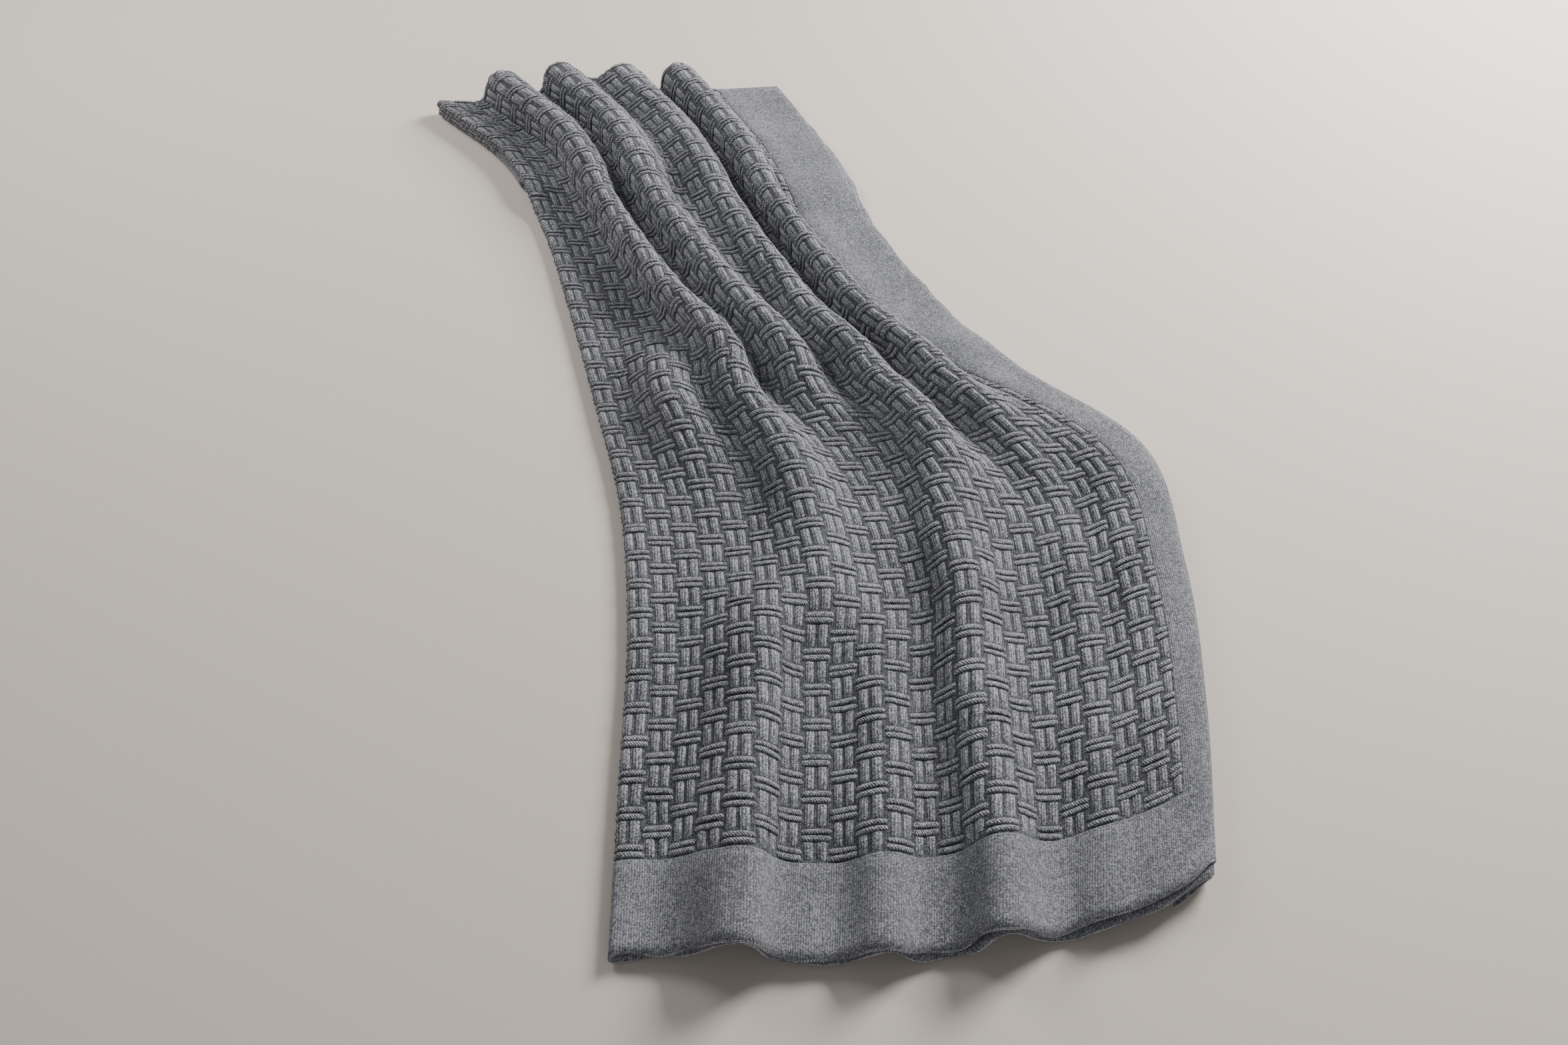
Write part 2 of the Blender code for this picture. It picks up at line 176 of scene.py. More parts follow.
def walkAcross(station, room):
    # x = sum of cos(tilt), z = sum of sin(tilt). The folds' tilt is scaled until x fills the room,
    # so the cloth keeps its own length
    halfCloth = 0.5 * (cloth["width"] - math.pi * cloth["turnRadius"])
    step = halfCloth / cloth["steps"]
    across = np.linspace(0.0, 1.0, cloth["steps"] + 1)
    walked = across[None, :] * halfCloth
    under = turnedUnderAt(station)[:, None]
    edge = edgeTilt(walked, halfCloth, under)
    beforeTuck = softStep((halfCloth - under - walked) / cloth["foldsEndBeforeTuck"])
    waves = foldTilt(across, station) * beforeTuck
    wavesMiddle, edgeMiddle = (0.5 * (part[:, 1:] + part[:, :-1]) for part in (waves, edge))
    halfBundle = 0.5 * cloth["layerGap"] + cloth["thickness"]
    turned = np.minimum(under[:, 0] / (0.5 * math.pi * cloth["tuckRadius"]), 1.0)
    room = room - halfBundle * turned
    least, most = np.zeros(len(station)), np.full(len(station), cloth["steepest"])
    for halving in range(cloth["halvings"]):
        steepness = 0.5 * (least + most)
        tilt = steepness[:, None] * wavesMiddle + edgeMiddle
        tooLong = np.sum(np.maximum(np.cos(tilt), 0.0), axis=1) * step > room
        least = np.where(tooLong, steepness, least)
        most = np.where(tooLong, most, steepness)
    rise = np.sin(tilt)
    spread = np.maximum(np.sum(np.abs(rise), axis=1), 1e-9)
    rise = rise - np.abs(rise) * (np.sum(rise, axis=1) / spread)[:, None]
    start = np.zeros((len(station), 1))
    distance = np.hstack((start, np.cumsum(np.cos(tilt) * step, axis=1)))
    height = np.hstack((start, np.cumsum(rise * step, axis=1)))
    return across, distance, np.maximum(height, 0.0)


def unevenness(s, v, seed, longest, shortest, count):
    # a sum of sine waves in all directions over the cloth, between about -1 and 1
    chance = np.random.default_rng(seed)
    total = np.zeros(np.broadcast(s, v).shape)
    for wave in range(count):
        length = shortest * (longest / shortest) ** chance.random()
        angle, phase = chance.random(2) * 2.0 * math.pi
        turned = s * math.cos(angle) + v * math.sin(angle)
        total = total + np.sin(2.0 * math.pi * turned / length + phase)
    return total / (0.9 * math.sqrt(count))


def unit(vectors):
    return vectors / np.linalg.norm(vectors, axis=-1, keepdims=True)


def normalsOf(points):
    # the way out of a fine grid whose columns run across and whose rows run along
    return unit(np.cross(np.gradient(points, axis=1), np.gradient(points, axis=0)))


def layBundle(v):
    # the middle of the two layers: out to the far fold, half a turn round it, and back under the
    # rest, which is lifted over the folded-under end. Returns the points and the ways out of them
    shown = v[v < cloth["farFold"] + 1e-9]
    station = shown / cloth["farFold"]
    foldPoint, openPoint = outlineAt(station)
    direction = unit(openPoint - foldPoint)
    rim = cloth["turnRadius"] + 0.5 * cloth["thickness"]
    width = np.linalg.norm(openPoint - foldPoint, axis=1)
    across, distance, height = walkAcross(station, width - rim)
    flat = 0.5 * (cloth["layerGap"] + cloth["thickness"])
    layerApart = flat + (cloth["turnRadius"] - flat) * np.exp(-((across / cloth["turnEases"]) ** 2))
    nearTurn = np.exp(-(((cloth["farFold"] - shown) / cloth["farTurnEases"]) ** 2))[:, None]
    apart = cloth["bundleApart"] + (cloth["farTurnRadius"] - cloth["bundleApart"]) * nearTurn
    apart = apart + (layerApart - flat)[None, :] * (1.0 - nearTurn)
    lifted = (station - cloth["liftFrom"]) / (cloth["liftTo"] - cloth["liftFrom"])
    apart = apart * softStep(lifted)[:, None]
    z = height + apart + layerApart + 0.5 * cloth["thickness"] + cloth["clearance"]
    x = foldPoint[:, :1] + direction[:, :1] * (rim + distance) + cloth["toFrame"][0]
    y = foldPoint[:, 1:] + direction[:, 1:] * (rim + distance) + cloth["toFrame"][1]
    # the hem bows out, most of all right of its middle, and the rows behind it less and less
    share = distance / distance.max(axis=1, keepdims=True)
    bow = 1.0 - np.abs(2.0 * share**1.5 - 1.0) ** 3
    bow = cloth["hemBow"] * bow * softStep(1.0 - station / cloth["hemBowFadesBy"])[:, None]
    x = x + bow * direction[:, 1:]
    y = y - bow * direction[:, :1]
    middle = np.stack((x, y, z), axis=2)
    out = normalsOf(middle)
    apart = apart[..., None]
    turn = (v[(v > cloth["farFold"] + 1e-9)] - cloth["farFold"]) / cloth["farTurnRadius"]
    turn = turn[turn < math.pi - 1e-9][:, None, None]
    forward = unit(np.cross(out[-1:], np.gradient(middle[-1:], axis=1)))
    rounded = np.cos(turn) * out[-1:] + np.sin(turn) * forward
    turned = middle[-1:] + apart[-1:] * rounded
    # the rows of the folded-under end, read from those above them
    end = cloth["farFold"] + math.pi * cloth["farTurnRadius"]
    above = np.interp(cloth["farFold"] - (v[v > end - 1e-9] - end), shown, np.arange(len(shown)))
    row = np.minimum(above.astype(int), len(shown) - 2)
    share = (above - row)[:, None, None]
    underMiddle, underOut, underApart = (
        grid[row] * (1.0 - share) + grid[row + 1] * share for grid in (middle, out, apart))
    underApart = np.maximum(underApart, cloth["bundleApart"])
    points = (middle + apart * out, turned, underMiddle - underApart * underOut)
    return across, layerApart, np.concatenate(points), np.concatenate((out, rounded, -underOut))


def layCloth():
    # the middle surface of the knit as a fine grid, lower open side to upper open side, with its
    # outward normals: each layer stands off the bundle's middle, and a half turn joins them
    farTurn = math.pi * cloth["farTurnRadius"]
    shown = np.linspace(0.0, cloth["farFold"], cloth["shownRows"] + 1)
    turning = cloth["farFold"] + np.linspace(0.0, farTurn, cloth["farTurnRows"] + 1)[1:]
    under = np.linspace(cloth["farFold"] + farTurn, cloth["length"], cloth["underRows"] + 1)[1:]
    v = np.concatenate((shown, turning, under))
    travelled = np.minimum(v, cloth["farFold"]) - np.maximum(v - cloth["farFold"] - farTurn, 0.0)
    across, layerApart, bundle, out = layBundle(v)
    side = unit(np.gradient(bundle, axis=1))
    forward = unit(np.cross(out, side))
    edgeShare = softStep((across - cloth["lowerEdgeFrom"]) / (1.0 - cloth["lowerEdgeFrom"]))
    beyondTuck = softStep((travelled / cloth["farFold"] - cloth["tuckEnds"]) / cloth["tuckEases"])
    beyondTuck = beyondTuck[:, None, None]
    slide = cloth["lowerEdgeShows"] * edgeShare[None, :, None] * beyondTuck
    skew = cloth["lowerHemSkew"] * softStep(1.0 - v / cloth["skewFadesBy"])[:, None] * across
    apart = layerApart[None, :, None]
    upper = bundle + apart * out
    lower = bundle - apart * out + slide * side - skew[..., None] * forward
    turn = np.linspace(0.0, math.pi, cloth["turnSteps"] + 1)[1:-1][None, :, None]
    atFold = slice(0, 1)
    roundTurn = np.cos(turn) * out[:, atFold] - np.sin(turn) * side[:, atFold]
    turnPoints = bundle[:, atFold] + apart[:, atFold] * roundTurn
    points = np.concatenate((lower[:, ::-1], turnPoints[:, ::-1], upper), axis=1)
    halfTurn = 0.5 * math.pi * cloth["turnRadius"]
    places = halfTurn + across * 0.5 * (cloth["width"] - 2.0 * halfTurn)
    turnPlaces = np.linspace(-halfTurn, halfTurn, cloth["turnSteps"] + 1)[1:-1]
    s = np.concatenate((-places[::-1], turnPlaces, places))
    return s, v, ruffle(s[None, :], v[:, None], points)


# wave sets are the longest, the shortest and how many
uneven = {
    "edge": 0.0014,
    "edgeWaves": (0.16, 0.04, 8),
    "edgeBand": 0.03,
    "lift": 0.0022,
    "liftWaves": (0.26, 0.05, 14),
    "liftEasesFar": 0.05,
    "levelAtSide": 0.045,
}


def ruffle(s, v, points):
    # the edges wander a little in the plane of the cloth, and the upper layer lies unevenly
    acrossWay, alongWay = unit(np.gradient(points, axis=1)), unit(np.gradient(points, axis=0))
    band = uneven["edgeBand"]
    nearHem = np.exp(-v / band) + np.exp(-(cloth["length"] - v) / band)
    nearSide = np.exp(-(0.5 * cloth["width"] - np.abs(s)) / band)
    hemWobble = uneven["edge"] * unevenness(s, 0.0 * v, 11, *uneven["edgeWaves"]) * nearHem
    sideWobble = uneven["edge"] * unevenness(0.0 * s, v, 12, *uneven["edgeWaves"]) * nearSide
    lift = 0.5 * uneven["lift"] * (1.0 + unevenness(s, v, 13, *uneven["liftWaves"]))
    onTop = softStep(s / band) * softStep((cloth["farFold"] - v) / uneven["liftEasesFar"])
    onTop = onTop * softStep((0.5 * cloth["width"] - uneven["levelAtSide"] - s) / band)
    lift = np.clip(lift, 0.0, uneven["lift"]) * onTop
    points = points + alongWay * hemWobble[..., None] + acrossWay * sideWobble[..., None]
    return points + normalsOf(points) * lift[..., None]


gridS, gridV, gridPoints = layCloth()
gridNormals = normalsOf(gridPoints)
print("cloth laid:", gridPoints.shape, "highest point", round(float(gridPoints[..., 2].max()), 4))


def onCloth(s, v, rise):
    # bilinear point of the middle surface at (s, v), moved out along its normal by rise
    s, v, rise = np.broadcast_arrays(s, v, rise)
    column = np.interp(s, gridS, np.arange(len(gridS)))
    row = np.interp(v, gridV, np.arange(len(gridV)))
    c0 = np.clip(column.astype(int), 0, len(gridS) - 2)
    r0 = np.clip(row.astype(int), 0, len(gridV) - 2)
    fc, fr = (column - c0)[..., None], (row - r0)[..., None]

    def blendOf(grid):
        nearer = grid[r0, c0] * (1.0 - fc) + grid[r0, c0 + 1] * fc
        farther = grid[r0 + 1, c0] * (1.0 - fc) + grid[r0 + 1, c0 + 1] * fc
        return nearer * (1.0 - fr) + farther * fr

    return blendOf(gridPoints) + blendOf(gridNormals) * rise[..., None]


def meshFrom(name, points, quads, triangles, uv, material):
    # one mesh from whole arrays: corners, four-sided faces, three-sided faces, one uv per corner
    loops = np.concatenate((quads.ravel(), triangles.ravel())).astype(np.int32)
    sizes = np.concatenate((np.full(len(quads), 4), np.full(len(triangles), 3))).astype(np.int32)
    starts = np.concatenate(([0], np.cumsum(sizes)[:-1])).astype(np.int32)
    mesh = bpy.data.meshes.new(name)
    mesh.vertices.add(len(points))
    mesh.vertices.foreach_set("co", points.astype(np.float32).ravel())
    mesh.loops.add(len(loops))
    mesh.loops.foreach_set("vertex_index", loops)
    mesh.polygons.add(len(sizes))
    mesh.polygons.foreach_set("loop_start", starts)
    mesh.polygons.foreach_set("loop_total", sizes)
    mesh.update(calc_edges=True)
    layer = mesh.uv_layers.new(name="knit")
    layer.data.foreach_set("uv", uv[loops].astype(np.float32).ravel())
    mesh.polygons.foreach_set("use_smooth", np.ones(len(sizes), bool))
    mesh.materials.append(material)
    mesh.update()
    piece = bpy.data.objects.new(name, mesh)
    bpy.context.scene.collection.objects.link(piece)
    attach(piece, "root")
    return piece


def closedTubes(name, rings, uv, material):
    # rings: (tubes, rings, points round, 3). Sides between rings, and a fan of triangles at both ends
    tubes, ringCount, roundCount = rings.shape[:3]
    first = np.arange(tubes)[:, None, None] * ringCount * roundCount
    ring = np.arange(ringCount - 1)[None, :, None] * roundCount
    point = np.arange(roundCount)[None, None, :]
    after = (np.arange(roundCount) + 1) % roundCount
    here, there = first + ring + point, first + ring + after[None, None, :]
    quads = np.stack((here, there, there + roundCount, here + roundCount), axis=-1).reshape(-1, 4)
    fan = np.arange(1, roundCount - 1)
    start = np.arange(tubes)[:, None] * ringCount * roundCount
    end = start + (ringCount - 1) * roundCount
    startFan = np.stack((start + 0 * fan, start + fan + 1, start + fan), axis=-1).reshape(-1, 3)
    endFan = np.stack((end + 0 * fan, end + fan, end + fan + 1), axis=-1).reshape(-1, 3)
    fans = np.vstack((startFan, endFan))
    return meshFrom(name, rings.reshape(-1, 3), quads, fans, uv.reshape(-1, 2), material)


def hexColour(code):
    # sRGB hex to the linear values that a shader takes
    channels = np.array([int(code[i:i + 2], 16) for i in (1, 3, 5)]) / 255.0
    linear = np.where(channels <= 0.04045, channels / 12.92, ((channels + 0.055) / 1.055) ** 2.4)
    return (*linear.tolist(), 1.0)


def addNode(tree, kind, feeds=(), **settings):
    # one node with its settings. Its inputs, in their own order or by name from a dictionary, are
    # set to a value or fed by a socket or by another node's first output
    made = tree.nodes.new(kind)
    for setting, value in settings.items():
        setattr(made, setting, value)
    for socket, value in (feeds.items() if isinstance(feeds, dict) else enumerate(feeds)):
        value = value.outputs[0] if isinstance(value, bpy.types.Node) else value
        if isinstance(value, bpy.types.NodeSocket):
            tree.links.new(value, made.inputs[socket])
        else:
            made.inputs[socket].default_value = value
    return made


def marl(tree, greys):
    # heathered yarn: flecks of 1.6 mm over fibres half as large, patches of 5 mm and a slow drift
    place = addNode(tree, "ShaderNodeTexCoord").outputs["Object"]
    mixed = 0.0
    for scale, share in ((1300.0, 0.25), (620.0, 0.50), (190.0, 0.15), (14.0, 0.10)):
        noise = addNode(tree, "ShaderNodeTexNoise", {"Vector": place, "Scale": scale, "Detail": 1.0})
        mixed = addNode(tree, "ShaderNodeMath", (noise, share, mixed), operation="MULTIPLY_ADD")
    ramp = addNode(tree, "ShaderNodeValToRGB", {"Fac": mixed})
    colours = ramp.color_ramp.elements
    colours[0].position, colours[0].color = 0.41, hexColour(greys[0])
    colours[1].position, colours[1].color = 0.59, hexColour(greys[2])
    middle = colours.new(0.50)
    middle.color = hexColour(greys[1])
    return ramp


def woolMaterial(name, greys, relief, paintedGrooveShade, bumpDepth):
    # matt wool: relief(tree) gives the stitch height, 0 in the grooves and 1 on the yarn. The same
    # height also darkens the colour, down to a share of it in the grooves: painted shade between
    # stitches, wales and cords
    material = bpy.data.materials.new(name)
    material.use_nodes = True
    tree = material.node_tree
    shader = tree.nodes["Principled BSDF"]
    shader.inputs["Roughness"].default_value = 0.95
    shader.inputs["IOR"].default_value = 1.46
    shader.inputs["Specular IOR Level"].default_value = 0.20
    shader.inputs["Sheen Weight"].default_value = 0.22
    shader.inputs["Sheen Roughness"].default_value = 0.40
    shader.inputs["Sheen Tint"].default_value = hexColour("#e4e6ea")
    height = relief(tree)
    # painted shade: the colour is scaled from 1 on the yarn down to this share in the grooves
    paintedShading = (height, 1.0 - paintedGrooveShade, paintedGrooveShade)
    paintedShade = addNode(tree, "ShaderNodeMath", paintedShading, operation="MULTIPLY_ADD")
    tones = {0: marl(tree, greys), "Scale": paintedShade}
    toned = addNode(tree, "ShaderNodeVectorMath", tones, operation="SCALE")
    tree.links.new(toned.outputs[0], shader.inputs["Base Color"])
    raised = {"Height": height, "Distance": bumpDepth, "Strength": 0.8}
    bump = addNode(tree, "ShaderNodeBump", raised)
    tree.links.new(bump.outputs[0], shader.inputs["Normal"])
    return material


def knitPlace(tree):
    # metres on the piece's own map: across and along the cloth, or along and across a cord
    place = addNode(tree, "ShaderNodeUVMap", uv_map="knit")
    split = addNode(tree, "ShaderNodeSeparateXYZ", (place,))
    return split.outputs[0], split.outputs[1]


def jerseyRelief(wale, course, slant, depth):
    # plain knit: V-shaped stitches one above the other in wales, with a groove between two wales.
    # Height is the root of the way out of the groove, times 1 on a stitch and less between two
    def relief(tree):
        across, along = knitPlace(tree)
        wales = addNode(tree, "ShaderNodeMath", (across, wale), operation="DIVIDE")
        inWale = addNode(tree, "ShaderNodeMath", (wales, 0.5), operation="PINGPONG")
        outOfGroove = addNode(tree, "ShaderNodeMath", (inWale, 2.0), operation="MULTIPLY")
        courses = addNode(tree, "ShaderNodeMath", (along, course), operation="DIVIDE")
        slanted = (outOfGroove, slant, courses)
        row = addNode(tree, "ShaderNodeMath", slanted, operation="MULTIPLY_ADD")
        angle = addNode(tree, "ShaderNodeMath", (row, math.pi), operation="MULTIPLY")
        wave = addNode(tree, "ShaderNodeMath", (angle,), operation="SINE")
        stitch = addNode(tree, "ShaderNodeMath", (wave,), operation="ABSOLUTE")
        stepped = (stitch, depth, 1.0 - depth)
        stitches = addNode(tree, "ShaderNodeMath", stepped, operation="MULTIPLY_ADD")
        rounded = addNode(tree, "ShaderNodeMath", (outOfGroove, 0.5), operation="POWER")
        return addNode(tree, "ShaderNodeMath", (rounded, stitches), operation="MULTIPLY")
    return relief


def ropeRelief(stitch, slant, halfWidth, depth):
    # one slanted stitch after another along a cord. Height is 1 less the fourth power of the share
    # of the half width, times 1 on a stitch and less between two. In the colour this height is
    # painted shade, dark at the cord's sides and between its stitches
    def relief(tree):
        along, around = knitPlace(tree)
        turns = addNode(tree, "ShaderNodeMath", (along, stitch), operation="DIVIDE")
        turn = addNode(tree, "ShaderNodeMath", (around, slant, turns), operation="MULTIPLY_ADD")
        angle = addNode(tree, "ShaderNodeMath", (turn, math.pi), operation="MULTIPLY")
        wave = addNode(tree, "ShaderNodeMath", (angle,), operation="SINE")
        onStitch = addNode(tree, "ShaderNodeMath", (wave,), operation="ABSOLUTE")
        stepped = (onStitch, depth, 1.0 - depth)
        stitches = addNode(tree, "ShaderNodeMath", stepped, operation="MULTIPLY_ADD")
        aside = addNode(tree, "ShaderNodeMath", (around,), operation="ABSOLUTE")
        share = addNode(tree, "ShaderNodeMath", (aside, halfWidth), operation="DIVIDE")
        held = addNode(tree, "ShaderNodeMath", (share, 1.0), operation="MINIMUM")
        fallen = addNode(tree, "ShaderNodeMath", (held, 4.0), operation="POWER")
        top = addNode(tree, "ShaderNodeMath", (1.0, fallen), operation="SUBTRACT")
        return addNode(tree, "ShaderNodeMath", (top, stitches), operation="MULTIPLY")
    return relief


# a wale is one column of stitches and a course one row, in metres, and a rope is one slanted
# stitch after another
gauge = {
    "wale": 0.0022,
    "course": 0.0019,
    "ribWale": 0.0028,
    "ribCourse": 0.0023,
    "slant": 0.8,  # courses from the groove to the middle of a wale
    "depth": 0.4,
    "ribDepth": 0.35,
    "ropeStitch": 0.00245,
    "ropeSlant": 300.0,  # stitches to a metre across the cord
    "ropeSide": 0.0031,
    "ropeDepth": 0.8,
}
plainKnit = jerseyRelief(gauge["wale"], gauge["course"], gauge["slant"], gauge["depth"])
ribKnit = jerseyRelief(gauge["ribWale"], gauge["ribCourse"], gauge["slant"], gauge["ribDepth"])
rope = ropeRelief(gauge["ropeStitch"], gauge["ropeSlant"], gauge["ropeSide"], gauge["ropeDepth"])

# One heathered wool, knitted in several ways. The borders' plain knit looks fine and even. Down
# between the ribs the same knit has darker greys, painted shade for the depth it lies at. The ribs
# show larger V-shaped stitches, and the bars, the row beside the panel and the bound-off edge show
# as rope, with deep slanted grooves. The bound-off edge has paler greys, painted light on an edge
# that faces away from the lamps. Each has the marl's greys from dark to light, the relief, the
# painted shade in its grooves and its depth
wool = {
    "greyWoolJersey": (("#5e5f64", "#7e7f85", "#a6a7ad"), plainKnit, 0.62, 0.0005),
    "greyWoolGroundPaintedShade": (("#393a3e", "#54555a", "#75767c"), plainKnit, 0.60, 0.0005),
    "greyWoolRib": (("#58595e", "#8a8b91", "#c2c3c9"), ribKnit, 0.42, 0.0008),
    "greyWoolBar": (("#5f6065", "#909196", "#bfc0c5"), rope, 0.25, 0.0009),
    "greyWoolRow": (("#696a6f", "#898a8f", "#acadb3"), rope, 0.45, 0.0005),
    "greyWoolEdgePaintedLight": (("#8a8b90", "#b0b1b6", "#d6d7dc"), rope, 0.45, 0.0005),
}
jerseyWool, paintedShadeGroundWool, ribWool, barWool, rowWool, paintedLightEdgeWool = (
    woolMaterial(name, *settings) for name, settings in wool.items())

# the basket weave repeats across by its pitch and along by its period
pattern = {
    "pitch": 0.0257,
    "columns": 22,
    "period": 0.035663,
    "periods": 38,
    "firstBars": 0.0080,  # from the border to the middle of the first pair of bars
    "barApart": 0.0032,  # half the distance between the two bars of a pair
    "jitter": 0.00035,  # by which a bar or a rib commonly strays
}


def cellPlaces():
    # every column from the fold outwards on both layers, alternate columns half a period on.
    # The fold lies between two columns, and the border leaves only half of the last one
    column = np.arange(-pattern["columns"], pattern["columns"])
    period = np.arange(pattern["periods"])
    column, period = (part.ravel() for part in np.meshgrid(column, period, indexing="ij"))
    s = (column + 0.5) * pattern["pitch"]
    v = cloth["border"] + pattern["firstBars"] + (period + 0.5 * (column % 2)) * pattern["period"]
    return s, v


cellS, cellV = cellPlaces()
panelHalf = 0.5 * cloth["width"] - cloth["border"]
panelNear, panelFar = cloth["border"], cloth["length"] - cloth["border"]
upper = cellS > -pattern["pitch"]

# The sheet itself: fine plain knit, seen as the borders and down between the pattern's ribs
ground = {
    "inner": -0.0019,
    "panelOuter": 0.0001,
    "borderOuter": 0.0009,
    "acrossStep": 0.0050,
    "halfStepUp": 0.0008,
    "turnColumns": 11,
    "borderRows": 9,
    "shownRows": 112,
    "farTurnRows": 9,
    "farTurnFrom": -0.004,
    "farTurnTo": 0.0201,
    "underRows": 13,
    "underFrom": 0.026,
}


def buildGround():
    # the sheet as two grids over the whole cloth, outer and inner, closed round all four edges
    edge, turn = 0.5 * cloth["width"], 0.5 * math.pi * cloth["turnRadius"]
    up, farFold = ground["halfStepUp"], cloth["farFold"]
    panelColumns = round((panelHalf - turn) / ground["acrossStep"])
    borderColumns = round(cloth["border"] / ground["acrossStep"])
    half = np.concatenate((np.linspace(turn, panelHalf - up, panelColumns),
                           np.linspace(panelHalf + up, edge, borderColumns)))
    acrossFold = np.linspace(-turn, turn, ground["turnColumns"])[1:-1]
    s = np.concatenate((-half[::-1], acrossFold, half))
    v = np.concatenate((
        np.linspace(0.0, panelNear - up, ground["borderRows"]),
        np.linspace(panelNear + up, farFold + ground["farTurnFrom"], ground["shownRows"]),
        np.linspace(farFold, farFold + ground["farTurnTo"], ground["farTurnRows"]),
        np.linspace(farFold + ground["underFrom"], panelFar - up, ground["underRows"]),
        np.linspace(panelFar + up, cloth["length"], ground["borderRows"])))
    s, v = np.meshgrid(s, v)
    inPanel = (np.abs(s) < panelHalf) & (v > panelNear) & (v < panelFar)
    outer = onCloth(s, v, np.where(inPanel, ground["panelOuter"], ground["borderOuter"]))
    inner = onCloth(s, v, np.full(s.shape, ground["inner"]))
    rows, columns = s.shape
    number = np.arange(rows * columns).reshape(rows, columns)
    here = number[:-1, :-1].ravel()
    outerFaces = np.stack((here, here + 1, here + columns + 1, here + columns), axis=1)
    innerFaces = outerFaces[:, ::-1] + rows * columns
    rim = np.concatenate((number[0, :-1], number[:-1, -1], number[-1, :0:-1], number[:0:-1, 0]))
    rimNext = np.roll(rim, -1)
    rimFaces = np.stack((rimNext, rim, rim + rows * columns, rimNext + rows * columns), axis=1)
    points = np.concatenate((outer.reshape(-1, 3), inner.reshape(-1, 3)))
    uv = np.tile(np.stack((s.ravel(), v.ravel()), axis=1), (2, 1))
    faces = np.vstack((outerFaces, innerFaces, rimFaces))
    piece = meshFrom("knitGround", points, faces, np.zeros((0, 3), int), uv, jerseyWool)
    # the panel's faces, seen only down between the ribs, take the darker greys: painted shade
    piece.data.materials.append(paintedShadeGroundWool)
    panelFace = (inPanel[:-1, :-1] & inPanel[1:, 1:]).ravel()
    slots = np.concatenate((panelFace, panelFace, np.zeros(len(rim), bool))).astype(np.int32)
    piece.data.polygons.foreach_set("material_index", slots)
    return piece


groundSheet = buildGround()
print("ground sheet:", len(groundSheet.data.polygons), "faces")

# Bars: two rope-like rows of slanted stitches, side by side
bar = {
    "halfLength": 0.0138,
    "halfWidth": 0.0031,
    "base": 0.0003,
    "halfHeight": 0.0019,
    "arch": 0.0002,
    "dip": 0.0006,
    "endLeast": 0.14,
    "clear": 0.0005,
    "farClear": 0.002,
    "widthStray": 0.6,
    "slantStray": 0.9,
}


def buildBars(name, cells, rings, around, topRise, seed):
    # a bar: an oval carried across its column, sin(angle) high and cos(angle) wide, arched a
    # little along the cloth, its ends dipping by the fourth power of the share of its length
    chance = np.random.default_rng(seed)
    s, v = np.repeat(cellS[cells], 2), np.repeat(cellV[cells], 2)
    v = v + np.tile((-pattern["barApart"], pattern["barApart"]), int(cells.sum()))
    keep = v < panelFar - bar["farClear"]
    s, v = s[keep][:, None, None], v[keep][:, None, None]
    onward, aside, slanted, wider = chance.normal(0.0, pattern["jitter"], (4, len(s), 1, 1))
    slanted, wider = bar["slantStray"] * slanted, bar["widthStray"] * wider
    share = np.sin(np.linspace(-0.5, 0.5, rings) * math.pi)[None, :, None]
    angle = (np.arange(around) / around * 2.0 * math.pi - 0.5 * math.pi)[None, None, :]
    taper = np.sqrt(np.maximum(1.0 - np.abs(share) ** 8, bar["endLeast"]))
    # the border cuts the last column's bars short
    room = np.minimum(bar["halfLength"], panelHalf - bar["clear"] - np.abs(s))
    left = np.where(s < 0, -room, -bar["halfLength"])
    right = np.where(s > 0, room, bar["halfLength"])
    alongBar = left + (right - left) * 0.5 * (1.0 + share) + onward
    acrossBar = (bar["halfWidth"] + wider) * taper * np.cos(angle)
    place = acrossBar + bar["arch"] * (0.4 - share**2) + aside + slanted * share
    rise = bar["base"] - bar["dip"] * share**4 + bar["halfHeight"] * topRise * taper * np.sin(angle)
    firstStitch = 0.5 * chance.random((len(s), 1, 1))
    uv = np.stack(np.broadcast_arrays(alongBar + firstStitch, acrossBar), axis=-1)
    return closedTubes(name, onCloth(s + alongBar, v + place, rise), uv, barWool)


barsUpper = buildBars("knitBarsUpper", upper, 7, 7, 1.0, 21)
barsLower = buildBars("knitBarsLower", ~upper, 5, 6, 0.8, 22)
print("bars:", len(barsUpper.data.polygons), len(barsLower.data.polygons), "faces")

# Ribs: pairs of flat three-wale strips that run from one pair of bars to the next
rib = {
    "apart": 0.0056,
    "halfWidth": 0.0045,
    "base": -0.0006,
    "height": 0.0021,
    "farTuck": 0.0036,
    "nearTuck": 0.0046,
    "dip": 0.0016,
    "shortest": 0.004,
    "squareness": 0.7,
    "endLeast": 0.12,
    "clear": 0.0008,
    "sideClear": 0.0003,
    "sideRoom": 0.001,
    "slantStray": 0.7,
}


